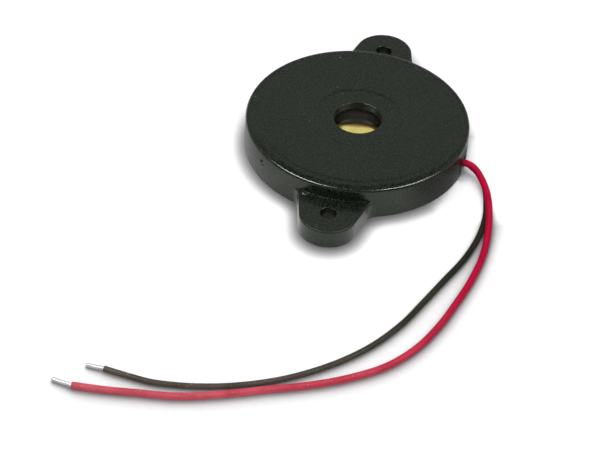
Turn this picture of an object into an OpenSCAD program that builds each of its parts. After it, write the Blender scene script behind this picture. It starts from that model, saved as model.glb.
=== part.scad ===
// Piezo buzzer with two flying leads: a flat round moulded housing with two mounting ears.
// Millimetres, +Z up. The origin is the middle of the base. The ears lie on the Y axis.

/* [Housing] */
// Outside diameter of the round housing
body_d = 42; // [41.6:0.1:44]
// Height of the housing from the panel to its rim
body_h = 6.6; // [6.2:0.1:9]
// Radius of the rounded top edge
rim_r = 1; // [0.3:0.1:1.4]
// Thickness of the front wall
front_t = 1.5; // [1:0.1:1.6]
// Thickness of the side wall above the back cover
side_t = 1.8; // [1.4:0.1:2]
// Diameter of the sound hole in the front wall
sound_d = 9; // [5:0.5:12]
// Radius of the rounded mouth of the sound hole
mouth_r = 0.3; // [0.1:0.05:0.6]

/* [Face] */
// Depth of the sunk ring in the face
face_depth = 0.12; // [0.05:0.01:0.3]
// Diameter of the raised collar round the sound hole
collar_d = 16.4; // [14:0.2:24]
// Width of the rim outside the sunk ring
face_margin = 2.4; // [1.4:0.1:5]

/* [Ears] */
// Distance between the two ear holes
ear_pitch = 50; // [49:0.5:54]
// Thickness of the ears
ear_t = 3.7; // [2.5:0.1:5]
// Radius of the round end of an ear
ear_r = 5.4; // [4.6:0.1:6.2]
// Diameter of the ear holes
ear_hole_d = 3; // [2.4:0.1:4.2]
// Angle at which each side of an ear widens towards the housing
ear_taper = 14; // [6:1:20]
// Radius of the hollow blend between an ear and the side wall
ear_blend_r = 3; // [1.5:0.1:4]
// Radius of the rounded top edge of the ears
ear_edge_r = 0.4; // [0.2:0.05:0.8]
// Diameter of the ejector dimple in the front ear
dimple_d = 1; // [0.6:0.1:1.4]
// Depth of the ejector dimple
dimple_depth = 0.2; // [0.1:0.05:0.4]

/* [Gate mark] */
// Diameter of the gate mark in the side wall
gate_d = 0.9; // [0.5:0.1:1.4]
// Depth of the gate mark
gate_depth = 0.25; // [0.1:0.05:0.5]
// Bearing of the gate mark from the X axis
gate_az = 225; // [200:1:245]
// Height of the gate mark above the base
gate_z = 4.1; // [3.4:0.1:4.8]

/* [Back cover] */
// Thickness of the back cover
back_t = 1.6; // [1.3:0.1:1.7]
// Width of the ledge in the side wall that the back cover seats on
ledge_w = 0.6; // [0.3:0.05:0.8]
// Clearance round the back cover
back_clear = 0.05; // [0.02:0.01:0.15]
// Chamfer on the back cover's outer edge
back_chamfer = 0.2; // [0.1:0.05:0.4]
// Depth of the notch in the back cover's edge that the leads drop through
notch_depth = 0.6; // [0.5:0.05:0.8]

/* [Diaphragm] */
// Space between the side wall and the brass disc's edge
disc_space = 1.7; // [1.4:0.1:2.4]
// Thickness of the brass disc
disc_t = 0.3; // [0.1:0.05:0.5]
// Height of the room for the leads between the back cover and the locating lip
lead_room = 1.7; // [1.6:0.05:1.9]
// Width of the seat under the rim of the brass disc
seat_w = 1.3; // [0.8:0.1:1.6]
// Clearance between the brass disc and its locating lip
seat_clear = 0.1; // [0.05:0.01:0.2]
// Thickness of the locating lip
lip_t = 0.8; // [0.5:0.1:0.9]
// Drop of the locating lip below the seat
lip_h = 0.6; // [0.5:0.05:0.7]
// Width of bare brass round the ceramic disc
brass_margin = 5; // [4.8:0.1:8]
// Thickness of the ceramic disc
ceramic_t = 0.25; // [0.1:0.05:0.35]
// Width of the silicone bead that bonds the brass disc's rim
bead_w = 0.7; // [0.4:0.1:1]

/* [Leads] */
// Diameter of the red lead over its insulation
red_d = 1.3; // [1:0.05:1.3]
// Diameter of the black lead over its insulation
black_d = 1.1; // [0.9:0.05:1.1]
// Diameter of a bare tinned wire end
wire_d = 0.8; // [0.4:0.05:0.85]
// Clearance between the leads and the sides of the slot
slot_clear = 0.15; // [0.1:0.05:0.4]
// Height of the lead slot above the base
slot_h = 3.4; // [3.3:0.1:3.6]
// Corner radius of the lead slot's roof
slot_r = 0.4; // [0.2:0.05:0.6]
// Diameter of a solder joint
solder_d = 2.4; // [1.8:0.1:2.6]
// Height of a solder joint
solder_h = 1; // [0.9:0.1:1.2]
// Length of the silicone dab along the leads
dab_l = 2.2; // [1:0.1:2.4]
// Silicone on either side of the two leads
dab_side = 0.9; // [0.4:0.1:1.5]

/* [Hidden] */
$fn = 96;

body_r = body_d / 2;
inner_r = body_r - side_t;
back_r = inner_r + ledge_w - back_clear;
disc_r = inner_r - disc_space;
lip_low = back_t + lead_room;
disc_top = lip_low + lip_h;
disc_low = disc_top - disc_t;
lip_r = disc_r + seat_clear;
ceramic_r = disc_r - brass_margin;
ceramic_low = disc_low - ceramic_t;
face_r = body_r - face_margin;

// The lead slot's bearing, and how far each lead runs to the side of it
exit_az = -5;
red_side = -0.56;
black_side = 0.6;
slot_from = red_side - red_d / 2 - slot_clear;
slot_to = black_side + black_d / 2 + slot_clear;
dab_end = inner_r - 0.3;
dab_h = lead_room - 0.1;
notch_from = dab_end + 0.1;

// Cuts run this far past the face that they open
past = 0.5;

// Middle of the ejector dimple, near the root of the front ear
dimple_at = [-5.4, -21.3];

// Hollow blend between an ear's side and the wall, worked out from the two tangents.
// It dips into the wall by blend_bite, so that it cuts the wall cleanly.
blend_bite = 0.05;
ear_y = ear_pitch / 2;
side_reach = ear_y * sin(ear_taper) + ear_r;
blend_far = body_r + ear_blend_r - blend_bite;
blend_az = ear_taper + acos((side_reach + ear_blend_r) / blend_far);
blend_c = blend_far * [cos(blend_az), sin(blend_az)];
root_r = body_r - side_t / 2;
lobe_steps = 30;
blend_steps = 8;
edge_steps = 4;

// The leads' routes: each bends down from the slot, lies on the surface and ends stripped.
// Red passes over black just outside the slot. X is measured from the outside of the side
// wall, and a height of 0 means that the lead lies on the surface there.
joint_bite = solder_h / 2;
red_joint = [ceramic_r - 3.6, -1.3, ceramic_low];
black_joint = [disc_r - 3.4, 0.3, disc_low];
red_points = [
    [-9.8, -1.6, 2.6], [-6.6, -1.85, 2.55], [-3.4, -2.1, 2.55], [-0.2, -2.4, 2.5],
    [1.9, -3.15, 2.4], [3.8, -5.5, 2.2], [5.8, -9.6, 1.9], [7.2, -15.2, 1.6],
    [7.9, -20.8, 0.9], [7.9, -26.4, 0], [7.1, -32.8, 0], [5.7, -39.2, 0],
    [3.9, -45.9, 0], [1.1, -52.8, 0], [-3.2, -58.9, 0], [-9.2, -63.7, 0],
    [-15.6, -67.3, 0], [-22.4, -70.3, 0], [-29.3, -73.4, 0], [-36.2, -75.8, 0],
    [-43.2, -76.9, 0], [-48.8, -77.7, 0], [-54.3, -78.1, 0]];
red_tip = [-58.1, -77.3, 0.45];
black_points = [
    [-4.9, 0, 2.5], [-2.3, -0.95, 2.25], [-0.3, -1.3, 1.75], [1.4, -2, 1.4],
    [3.3, -3.7, 1.1], [5, -6.9, 0.7], [5.95, -10.8, 0], [6.45, -14.8, 0],
    [6.3, -20, 0], [4.9, -26.9, 0], [2.4, -33.8, 0], [-0.1, -40.7, 0],
    [-2.8, -47.6, 0], [-7, -54.8, 0], [-12.6, -61.1, 0], [-19.2, -66.3, 0],
    [-26.2, -70, 0], [-33.4, -72.4, 0], [-40.4, -73.5, 0], [-45.2, -73.2, 0],
    [-50.1, -72.5, 0]];
black_tip = [-53.4, -72.3, 0.45];
// Count of straight spans at the start of each route, up to the slot
red_straight = 3;
black_straight = 1;
tube_sides = 8;

// Lifts the points of a lead of diameter d out of the surface
function laid(points, d) = [for (p = points) [p[0], p[1], max(p[2], d / 2)]];
// A point between points k and k + 1 that keeps the run of the points on either side
function between(p, k) =
    (9 * (p[k] + p[k + 1]) - p[k - 1] - p[min(k + 2, len(p) - 1)]) / 16;
function flowing(p, straight) = concat(
    [for (k = [0 : straight - 1]) p[k]],
    [for (k = [straight : len(p) - 2]) each [p[k], between(p, k)]],
    [p[len(p) - 1]]);
red_start = red_joint - [0, 0, joint_bite];
black_start = black_joint - [0, 0, joint_bite];
function lead_line(points, d, straight) = laid(flowing(laid(points, d), straight), d);
function from_wall(points) = [for (p = points) p + [body_r, 0, 0]];
red_route = concat(
    [red_start], from_wall(concat(lead_line(red_points, red_d, red_straight), [red_tip])));
black_route = concat(
    [black_start], from_wall(concat(lead_line(black_points, black_d, black_straight), [black_tip])));

plastic = "#2f3330";
brass = "#c8a84b";
ceramic = "#e6e2d3";
silicone = "#d9dcdc";
solder = "#b9bcc0";
red_pvc = "#c8203c";
black_pvc = "#33322b";

function unit(v) = v / norm(v);
function arc(c, r, from, to, steps) =
    [for (k = [0 : steps]) let (a = from + (to - from) * k / steps) c + r * [cos(a), sin(a)]];
function mirrored(points) =
    [for (k = [len(points) - 1 : -1 : 0]) [-points[k][0], points[k][1]]];

// One side of an ear's outline, drawn in by inset: wall, hollow blend and straight flank
function ear_side(inset) = concat(
    [root_r * [cos(blend_az), sin(blend_az)]],
    arc(blend_c, ear_blend_r + inset, blend_az + 180, ear_taper + 180, blend_steps));
// The whole outline, from the middle of the ear's root, which sees all the other points
function ear_outline(inset) = concat(
    [[0, root_r * sin(blend_az)]],
    ear_side(inset),
    arc([0, ear_y], ear_r - inset, ear_taper, 180 - ear_taper, lobe_steps),
    mirrored(ear_side(inset)));

// Stacks outlines with equal counts of points into one closed solid
module stacked(outlines, heights) {
    n = len(outlines[0]);
    top = len(outlines) - 1;
    polyhedron(
        points = [for (k = [0 : top]) for (p = outlines[k]) [p[0], p[1], heights[k]]],
        faces = concat(
            [[for (i = [0 : n - 1]) i]],
            [[for (i = [0 : n - 1]) top * n + (n - i) % n]],
            [for (k = [0 : top - 1]) for (i = [0 : n - 1])
                [k * n + i, (k + 1) * n + i, (k + 1) * n + (i + 1) % n, k * n + (i + 1) % n]]));
}

// An ear with its rounded top edge, on the +Y side
module ear_blank() {
    turns = [for (k = [0 : edge_steps]) 90 * k / edge_steps];
    insets = concat([0], [for (a = turns) ear_edge_r * (1 - cos(a))]);
    heights = concat([0], [for (a = turns) ear_t - ear_edge_r * (1 - sin(a))]);
    stacked([for (inset = insets) ear_outline(inset)], heights);
}

// Section of the solid housing, before it is hollowed, with the rounded rim
module body_section() {
    square([body_r - rim_r, body_h]);
    square([body_r, body_h - rim_r]);
    translate([body_r - rim_r, body_h - rim_r]) circle(rim_r);
}

// Section of what the sound hole takes away: a bore with a rounded mouth
module sound_section() {
    mouth = sound_d / 2 + mouth_r;
    difference() {
        translate([0, body_h - front_t - past]) square([mouth, front_t + 2 * past]);
        translate([sound_d / 2, 0]) square([2 * mouth_r, body_h - mouth_r]);
        translate([mouth, body_h - mouth_r]) circle(mouth_r);
    }
}

// Section of the hollow: the back cover's rebate, the cavity, and the seat and lip in it
module hollow_section() {
    translate([0, -past]) square([back_r + back_clear, back_t + past]);
    difference() {
        square([inner_r, body_h - front_t]);
        translate([disc_r - seat_w, disc_top])
            square([seat_w + seat_clear + lip_t, body_h - disc_top]);
        translate([lip_r, lip_low]) square([lip_t, lip_h + past]);
    }
}

// The way out for the leads: open at the base, with rounded roof corners
module slot_section() {
    wide = slot_to - slot_from;
    translate([slot_from, -past]) square([wide, slot_h - slot_r + past]);
    translate([slot_from + slot_r, -past]) square([wide - 2 * slot_r, slot_h + past]);
    for (x = [slot_from + slot_r, slot_to - slot_r]) translate([x, slot_h - slot_r]) circle(slot_r);
}

module housing() color(plastic) difference() {
    union() {
        rotate_extrude() body_section();
        for (turn = [0, 180]) rotate(turn) ear_blank();
    }
    rotate_extrude() hollow_section();
    rotate_extrude() sound_section();
    translate([0, 0, body_h - face_depth]) difference() {
        cylinder(r = face_r, h = face_depth + past);
        translate([0, 0, -past]) cylinder(d = collar_d, h = face_depth + 3 * past);
    }
    for (side = [-1, 1]) translate([0, side * ear_y, -past])
        cylinder(d = ear_hole_d, h = ear_t + 2 * past);
    rotate(exit_az) translate([inner_r - past, 0, 0]) rotate([90, 0, 90])
        linear_extrude(side_t + 2 * past) slot_section();
    rotate(gate_az) translate([body_r - gate_depth, 0, gate_z]) rotate([0, 90, 0])
        cylinder(d = gate_d, h = gate_depth + past);
    translate([dimple_at[0], dimple_at[1], ear_t - dimple_depth])
        cylinder(d = dimple_d, h = dimple_depth + past);
}

module back_cover() color(plastic) difference() {
    rotate_extrude() polygon([
        [0, 0], [back_r - back_chamfer, 0], [back_r, back_chamfer], [back_r, back_t], [0, back_t]]);
    rotate(exit_az) translate([notch_from, slot_from, back_t - notch_depth])
        cube([side_t + past, slot_to - slot_from, notch_depth + past]);
}

module diaphragm() color(brass) translate([0, 0, disc_low]) cylinder(r = disc_r, h = disc_t);

module ceramic_disc() color(ceramic)
    translate([0, 0, ceramic_low]) cylinder(r = ceramic_r, h = ceramic_t);

// The bead fills the clearance round the brass disc and the corner below its rim
module adhesive_ring() color(silicone) rotate_extrude() {
    bead_h = disc_low - lip_low;
    translate([disc_r, disc_low]) square([seat_clear, disc_t]);
    intersection() {
        translate([lip_r - bead_w, lip_low]) square([bead_w, bead_h]);
        translate([lip_r, disc_low]) scale([bead_w / bead_h, 1]) circle(bead_h);
    }
}

// A rod between two points
module rod(from, to, d) {
    along = to - from;
    translate(from)
        rotate([0, acos(along[2] / norm(along)), atan2(along[1], along[0])])
            cylinder(d = d, h = norm(along));
}

// A drop of solder that hangs from the face at the point at
module solder_drop(at, route) color(solder) difference() {
    ball_r = (pow(solder_d / 2, 2) + pow(solder_h, 2)) / (2 * solder_h);
    translate(at) intersection() {
        translate([0, 0, ball_r - solder_h]) sphere(ball_r);
        translate([-solder_d, -solder_d, -solder_h]) cube([2 * solder_d, 2 * solder_d, solder_h]);
    }
    rod(route[0], route[1], wire_d);
}

// Heading of a route at its point k: along the bare end at both ends of the insulation
function heading(route, k) =
    k == 1 ? unit(route[1] - route[0]) :
    k == len(route) - 2 ? unit(route[k + 1] - route[k]) :
    unit(unit(route[k + 1] - route[k]) + unit(route[k] - route[k - 1]));

// An insulated lead: a tube of tube_sides faces with a ring at each inner point of its route
module lead_tube(route, d) {
    last = len(route) - 2;
    corners = [for (k = [1 : last])
        let (along = heading(route, k), across = unit(cross(along, [0, 0, 1])), up = cross(across, along))
        for (i = [0 : tube_sides - 1])
            let (a = 360 * i / tube_sides)
            route[k] + d / 2 * (cos(a) * across + sin(a) * up)];
    polyhedron(
        points = corners,
        faces = concat(
            [[for (i = [tube_sides - 1 : -1 : 0]) i]],
            [[for (i = [0 : tube_sides - 1]) (last - 1) * tube_sides + i]],
            [for (k = [0 : last - 2]) for (i = [0 : tube_sides - 1])
                let (a = k * tube_sides + i, b = k * tube_sides + (i + 1) % tube_sides)
                [a, b, b + tube_sides, a + tube_sides]]));
}

// The dab of silicone inside the slot, with a channel for each lead
module lead_adhesive() color(silicone) difference() {
    wide = slot_to - slot_from + 2 * dab_side;
    rotate(exit_az) translate([dab_end - dab_l, slot_from - dab_side, back_t])
        cube([dab_l, wide, dab_h]);
    red_lead();
    black_lead();
}

module red_solder_joint() solder_drop(red_joint, red_route);
module black_solder_joint() solder_drop(black_joint, black_route);
module red_inner_wire() color(solder) rod(red_route[0], red_route[1], wire_d);
module black_inner_wire() color(solder) rod(black_route[0], black_route[1], wire_d);
module red_lead() color(red_pvc) lead_tube(red_route, red_d);
module black_lead() color(black_pvc) lead_tube(black_route, black_d);
module red_wire_end() color(solder)
    rod(red_route[len(red_route) - 2], red_route[len(red_route) - 1], wire_d);
module black_wire_end() color(solder)
    rod(black_route[len(black_route) - 2], black_route[len(black_route) - 1], wire_d);

housing();
back_cover();
diaphragm();
ceramic_disc();
adhesive_ring();
lead_adhesive();
red_solder_joint();
black_solder_joint();
red_inner_wire();
black_inner_wire();
red_lead();
black_lead();
red_wire_end();
black_wire_end();
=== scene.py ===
# %% [markdown]
# # A piezo buzzer with two flying leads
# The real object is a flat round sounder, 42 mm across: a dark moulded housing with two
# fixing ears, a brass disc that shows through the hole in its face, and a red and a black
# lead. The solids come from the CAD model. Here each visible piece gets its real surface,
# and the object gets a table, lamps and a camera. Everything is in metres and in the CAD
# model's own frame, so nothing has to be fitted by eye.

# %% Load the CAD frame
import math

import bmesh
import bpy
import numpy as np
from mathutils import Matrix, Quaternion, Vector


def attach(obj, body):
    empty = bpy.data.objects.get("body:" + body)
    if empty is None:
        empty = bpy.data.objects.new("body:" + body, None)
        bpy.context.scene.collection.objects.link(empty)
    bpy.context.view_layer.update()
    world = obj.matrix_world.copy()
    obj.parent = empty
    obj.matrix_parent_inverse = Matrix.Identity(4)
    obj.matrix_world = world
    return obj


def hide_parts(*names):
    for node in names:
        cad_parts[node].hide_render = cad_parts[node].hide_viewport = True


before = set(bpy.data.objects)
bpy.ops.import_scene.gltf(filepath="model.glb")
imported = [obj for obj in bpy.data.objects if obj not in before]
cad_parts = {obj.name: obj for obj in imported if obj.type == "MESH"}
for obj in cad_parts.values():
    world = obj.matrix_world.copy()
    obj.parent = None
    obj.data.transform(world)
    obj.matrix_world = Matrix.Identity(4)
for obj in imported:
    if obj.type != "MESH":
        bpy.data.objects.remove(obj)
scene = bpy.context.scene
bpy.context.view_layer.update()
MM = 0.001

# %% [markdown]
# ## The camera
# The photograph was taken from well back with a long lens, 39 degrees above the table.
# A camera could be nudged until it looks right. Here it is worked out as a surveyor would:
# where the middle of the housing's base falls in the picture, how far off the lens is, and
# how far the camera is rolled.

# %% Camera
PHOTO_W, PHOTO_H = 600, 450
AZIMUTH, ELEVATION, ROLL = 9.14, 39.25, -4.55
DISTANCE, FOCAL_PX, SENSOR_MM = 0.6, 3182.3, 36
BASE_PX = (355.76, 144.66)


def world_to_camera():
    """Rows are the camera's right, up and back for the azimuth and elevation. They are then
    rolled, and swung so that the base's middle falls on its own pixel, not in the centre."""
    e = math.radians(ELEVATION)
    facing = Matrix(((1, 0, 0), (0, math.sin(e), math.cos(e)), (0, -math.cos(e), math.sin(e))))
    spin = Matrix.Rotation(math.radians(-AZIMUTH), 3, "Z")
    roll = Matrix.Rotation(math.radians(ROLL), 3, "Z")
    x, y = BASE_PX[0] - PHOTO_W / 2, PHOTO_H / 2 - BASE_PX[1]
    ray = Vector((x / FOCAL_PX, y / FOCAL_PX, -1)).normalized()
    swing = Vector((0, 0, -1)).rotation_difference(ray).to_matrix()
    return swing @ roll @ facing @ spin, ray


turned, ray = world_to_camera()
camera_data = bpy.data.cameras.new("camera")
camera_data.sensor_width = SENSOR_MM
camera_data.lens = SENSOR_MM * FOCAL_PX / PHOTO_W
camera_data.clip_start, camera_data.clip_end = 0.01, 10
camera = bpy.data.objects.new("camera", camera_data)
scene.collection.objects.link(camera)
back = turned.transposed()
camera.matrix_world = Matrix.Translation(-(back @ ray) * DISTANCE) @ back.to_4x4()
scene.camera = camera
print("camera at", [round(v, 3) for v in camera.matrix_world.translation])
print("lens in mm:", round(camera_data.lens, 1))

# %% [markdown]
# ## Shapes from numbers
# Every new piece is a surface with two parameters: a grid of points that is worked out as
# whole arrays and handed to the mesh in one go. A profile carried round an axis makes the
# moulded parts, and a profile carried along a path makes the leads. Modelling by hand would
# do as well, but here each curve keeps its real size in millimetres.

# %% Mesh helpers
SAME_PLACE = 1e-7


def grid_faces(rows, columns, wrap_rows=False, wrap_columns=False):
    """Quads of a grid whose points are numbered row by row; a wrapped side joins its start."""
    i = np.arange(rows if wrap_rows else rows - 1)[:, None]
    j = np.arange(columns if wrap_columns else columns - 1)[None, :]
    i2, j2 = (i + 1) % rows, (j + 1) % columns
    ring = (i * columns + j, i * columns + j2, i2 * columns + j2, i2 * columns + j)
    return np.stack(np.broadcast_arrays(*ring), -1).reshape(-1, 4)


def mesh_object(name, parts, material, marks=None, crease=32):
    """One object from (points, faces) parts, with the points given in mm. Points that fall
    together are merged, edges that turn more than crease degrees are shaded sharp, and marks
    are kept as point attributes for the materials."""
    mesh = bpy.data.meshes.new(name)
    starts = np.cumsum([0] + [len(points) for points, _ in parts[:-1]])
    points = np.concatenate([points for points, _ in parts]) * MM
    faces = np.concatenate([quads + start for (_, quads), start in zip(parts, starts)])
    mesh.from_pydata(points.tolist(), [], faces.tolist())
    for mark, values in (marks or {}).items():
        layer = mesh.attributes.new(mark, "FLOAT", "POINT")
        layer.data.foreach_set("value", np.asarray(values, np.float32).ravel())
    made = bpy.data.objects.new(name, mesh)
    scene.collection.objects.link(made)
    work = bmesh.new()
    work.from_mesh(mesh)
    bmesh.ops.remove_doubles(work, verts=work.verts, dist=SAME_PLACE)
    work.to_mesh(mesh)
    work.free()
    mesh.polygons.foreach_set("use_smooth", np.ones(len(mesh.polygons), bool))
    mesh.set_sharp_from_angle(angle=math.radians(crease))
    mesh.materials.append(material)
    mesh.update()
    mesh.calc_loop_triangles()
    print(f"{name}: {len(mesh.loop_triangles)} triangles")
    return made


def unit_rows(v):
    """Each row of v at length 1."""
    return v / np.linalg.norm(v, axis=-1, keepdims=True)


def smooth_step(x, low, high):
    """0 below low, 1 above high, and t^2 (3 - 2t) between them."""
    t = np.clip((x - low) / (high - low), 0, 1)
    return t * t * (3 - 2 * t)


print("mesh helpers ready")

# %% [markdown]
# ## The leads
# Two stranded wires in soft PVC, 1.3 and 1.1 mm over the insulation. They leave the slot
# side by side, the red one passes over the black one, and both lie on the table in a lazy
# bend to their stripped ends. The points are the CAD model's own, with x measured from the
# outside of the side wall. A simulation would let them settle somewhere near; a smooth
# spline through measured points puts them where the photograph has them.

# %% Lead routes
BODY_R = 21.0
RED_D, BLACK_D, WIRE_D = 1.3, 1.1, 0.8
RED_POINTS = np.array([
    (-9.8, -1.6, 2.6), (-6.6, -1.85, 2.55), (-3.4, -2.1, 2.55), (-0.2, -2.4, 2.5),
    (1.9, -3.15, 2.4), (3.8, -5.5, 2.2), (5.8, -9.6, 1.9), (7.2, -15.2, 1.6),
    (7.9, -20.8, 0.9), (7.9, -26.4, 0), (7.1, -32.8, 0), (5.7, -39.2, 0),
    (3.9, -45.9, 0), (1.1, -52.8, 0), (-3.2, -58.9, 0), (-9.2, -63.7, 0),
    (-15.6, -67.3, 0), (-22.4, -70.3, 0), (-29.3, -73.4, 0), (-36.2, -75.8, 0),
    (-43.2, -76.9, 0), (-48.8, -77.7, 0), (-54.3, -78.1, 0)])
RED_TIP = (-58.1, -77.3, 0.45)
BLACK_POINTS = np.array([
    (-4.9, 0, 2.5), (-2.3, -0.95, 2.25), (-0.3, -1.3, 1.75), (1.4, -2, 1.4),
    (3.3, -3.7, 1.1), (5, -6.9, 0.7), (5.95, -10.8, 0), (6.45, -14.8, 0),
    (6.3, -20, 0), (4.9, -26.9, 0), (2.4, -33.8, 0), (-0.1, -40.7, 0),
    (-2.8, -47.6, 0), (-7, -54.8, 0), (-12.6, -61.1, 0), (-19.2, -66.3, 0),
    (-26.2, -70, 0), (-33.4, -72.4, 0), (-40.4, -73.5, 0), (-45.2, -73.2, 0),
    (-50.1, -72.5, 0)])
BLACK_TIP = (-53.4, -72.3, 0.45)
WALL = np.array([BODY_R, 0, 0])


def lead_line(points, diameter, straight, steps=12):
    """Catmull-Rom between points b and c with neighbours a and d: for t from 0 to 1,
    b + t(c-a)/2 + t^2(2a-5b+4c-d)/2 + t^3(3b-3c+d-a)/2. The first spans stay straight, and
    the line never comes nearer to the table than the lead's own radius."""
    p = points + WALL
    p[:, 2] = np.maximum(p[:, 2], diameter / 2)
    k = np.arange(len(p) - 1)
    a, b, c, d = p[np.maximum(k - 1, 0)], p[k], p[k + 1], p[np.minimum(k + 2, len(p) - 1)]
    t = np.linspace(0, 1, steps, endpoint=False)[:, None, None]
    curve = b + t * (c - a) / 2 + t**2 * (2 * a - 5 * b + 4 * c - d) / 2
    curve = curve + t**3 * (3 * b - 3 * c + d - a) / 2
    curve[:, :straight] = (b + t * (c - b))[:, :straight]
    line = np.concatenate([curve.transpose(1, 0, 2).reshape(-1, 3), p[-1:]])
    line[:, 2] = np.maximum(line[:, 2], diameter / 2)
    return line


def run_of(line):
    """Distance along a line of points, from its start to each point."""
    return np.concatenate([[0], np.cumsum(np.linalg.norm(np.diff(line, axis=0), axis=1))])


red_line = lead_line(RED_POINTS, RED_D, straight=3)
black_line = lead_line(BLACK_POINTS, BLACK_D, straight=1)
print("insulation in mm: red %.1f, black %.1f" % (run_of(red_line)[-1], run_of(black_line)[-1]))


# %% Sweep a profile along a line
def swept(line, stations, radii, sides, ripple=None):
    """A closed skin: at each station, a distance along the line, a ring of points
    centre + radius (cos a across + sin a up). Radius 0 at both ends closes the skin.
    ripple(station, a) multiplies the radius."""
    run = run_of(line)
    centre = np.stack([np.interp(stations, run, line[:, i]) for i in range(3)], -1)
    slope = np.gradient(line, run, axis=0)
    along = unit_rows(np.stack([np.interp(stations, run, slope[:, i]) for i in range(3)], -1))
    across = unit_rows(np.cross(along, [0, 0, 1.0]))
    up = np.cross(across, along)
    a = np.linspace(0, 2 * np.pi, sides, endpoint=False)
    radius = np.asarray(radii)[:, None] * np.ones(sides)
    if ripple is not None:
        radius = radius * ripple(np.asarray(stations)[:, None], a)
    ring = np.cos(a)[:, None] * across[:, None] + np.sin(a)[:, None] * up[:, None]
    points = centre[:, None] + radius[..., None] * ring
    return points.reshape(-1, 3), grid_faces(len(stations), sides, wrap_columns=True)


def sleeve_profile(length, radius, edge, inner, spacing):
    """Stations and radii of a cut length of insulation: a flat end, a quarter turn of
    radius edge, the long side, and the same at the far end, where the wire comes out."""
    turn = np.linspace(0, np.pi / 2, 5)
    side = np.linspace(edge, length - edge, int(length / spacing))[1:-1]
    near, wide = edge * (1 - np.cos(turn)), radius - edge * (1 - np.sin(turn))
    stations = np.concatenate([[0, 0], near, side, length - near[::-1], [length, length]])
    long_side = np.full(len(side), radius)
    radii = np.concatenate([[0, inner], wide, long_side, wide[::-1], [inner, 0]])
    return stations, radii


print("sweep ready")

# %% [markdown]
# ## Shared finishes
# Dirt, grain and wear come in small variations that the eye reads as real. An image texture
# could hold them, but a node group is sharp at any distance and can be used again. Each
# group puts out only masks, tones and heights; each material adds them to its own shader.

# %% Nodes and their wires
def new_material(name):
    """A node material: itself, its tree, and its shader, which is already wired."""
    material = bpy.data.materials.new(name)
    material.use_nodes = True
    return material, material.node_tree, material.node_tree.nodes["Principled BSDF"]


def feed(tree, node, **wires):
    """Each wire goes to the input of its name, with _ for a space, or of its number, as in
    i2. A socket is joined, and a number or colour is set as it is."""
    for key, value in wires.items():
        socket = node.inputs[int(key[1:]) if key[1:].isdigit() else key.replace("_", " ")]
        if isinstance(value, bpy.types.NodeSocket):
            tree.links.new(value, socket)
        else:
            socket.default_value = (*value, 1) if socket.type == "RGBA" else value


def put(tree, kind, settings=None, **wires):
    """A node of that kind with its own settings, and its inputs fed."""
    node = tree.nodes.new("ShaderNode" + kind)
    for key, value in (settings or {}).items():
        setattr(node, key, value)
    feed(tree, node, **wires)
    return node


print("nodes ready")


# %% Sums and colours
def calc(tree, operation, a, b=0.0, clamp=False):
    """One sum on numbers that change over the surface."""
    settings = {"operation": operation, "use_clamp": clamp}
    return put(tree, "Math", settings, i0=a, i1=b).outputs[0]


def times(tree, a, b):
    """a times b."""
    return calc(tree, "MULTIPLY", a, b)


def fit(tree, value, low, high, to_low=0.0, to_high=1.0):
    """value taken from the range low to high into another range, and kept inside it."""
    return put(tree, "MapRange", i0=value, i1=low, i2=high, i3=to_low, i4=to_high).outputs[0]


def below(tree, value, low, high):
    """1 where value is under low, and 0 where it is over high."""
    return fit(tree, value, low, high, 1.0, 0.0)


def blend(tree, factor, low, high):
    """The colour low where factor is 0 and high where it is 1."""
    return put(tree, "Mix", {"data_type": "RGBA"}, i0=factor, i6=low, i7=high).outputs[2]


def layered(tree, tone, *layers):
    """The tone under further colours, each laid on as (mask, its share, colour)."""
    for mask, share, colour in layers:
        tone = blend(tree, times(tree, mask, share), tone, colour)
    return tone


print("sums and colours ready")


# %% Places and patterns
def place_of(tree):
    """Where each point of the piece is, in metres."""
    return put(tree, "TexCoord").outputs["Object"]


def parts_of(tree, vector):
    """The x, y and z of a vector."""
    return put(tree, "SeparateXYZ", Vector=vector).outputs


def apart(tree, place, point):
    """How far a place is from a point."""
    return put(tree, "VectorMath", {"operation": "DISTANCE"}, i0=place, i1=point).outputs["Value"]


def off_axis(tree, place):
    """How far a place is from the Z axis: the root of x^2 + y^2."""
    x, y, _ = parts_of(tree, place)
    return calc(tree, "SQRT", calc(tree, "ADD", times(tree, x, x), times(tree, y, y)))


def upness(tree):
    """How far a face looks up: the z of its normal, from -1 to 1."""
    return parts_of(tree, put(tree, "NewGeometry").outputs["Normal"])[2]


def mark(tree, name):
    """A point attribute that the mesh carries."""
    return put(tree, "Attribute", {"attribute_name": name}).outputs["Fac"]


def noise(tree, place, **wires):
    """Soft random spots, Scale to the metre."""
    return put(tree, "TexNoise", Vector=place, **wires).outputs[0]


def drawn_out(tree, place, bearing, squeeze):
    """The place turned by bearing, in radians, with its y squeezed, so that noise on it
    runs in lines."""
    turn = {"Rotation": (0, 0, bearing), "Scale": (1, squeeze, 1)}
    return put(tree, "Mapping", Vector=place, **turn).outputs[0]


def add_relief(tree, shader, height, strength, depth):
    """Bump on the shader's normal, for a height from 0 to 1 that stands for depth metres."""
    bump = put(tree, "Bump", Height=height, Strength=strength, Distance=depth)
    feed(tree, shader, Normal=bump.outputs[0])


print("patterns ready")


# %% Making and using a group
def finish_group(name, inputs, outputs):
    """An empty group with those number sockets: itself, what it is given, and its output."""
    group = bpy.data.node_groups.new(name, "ShaderNodeTree")
    kind = "NodeSocketFloat"
    for socket, value in inputs.items():
        made = group.interface.new_socket(socket, in_out="INPUT", socket_type=kind)
        made.default_value = value
    for socket in outputs:
        group.interface.new_socket(socket, in_out="OUTPUT", socket_type=kind)
    given = group.nodes.new("NodeGroupInput").outputs
    return group, given, group.nodes.new("NodeGroupOutput")


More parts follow.
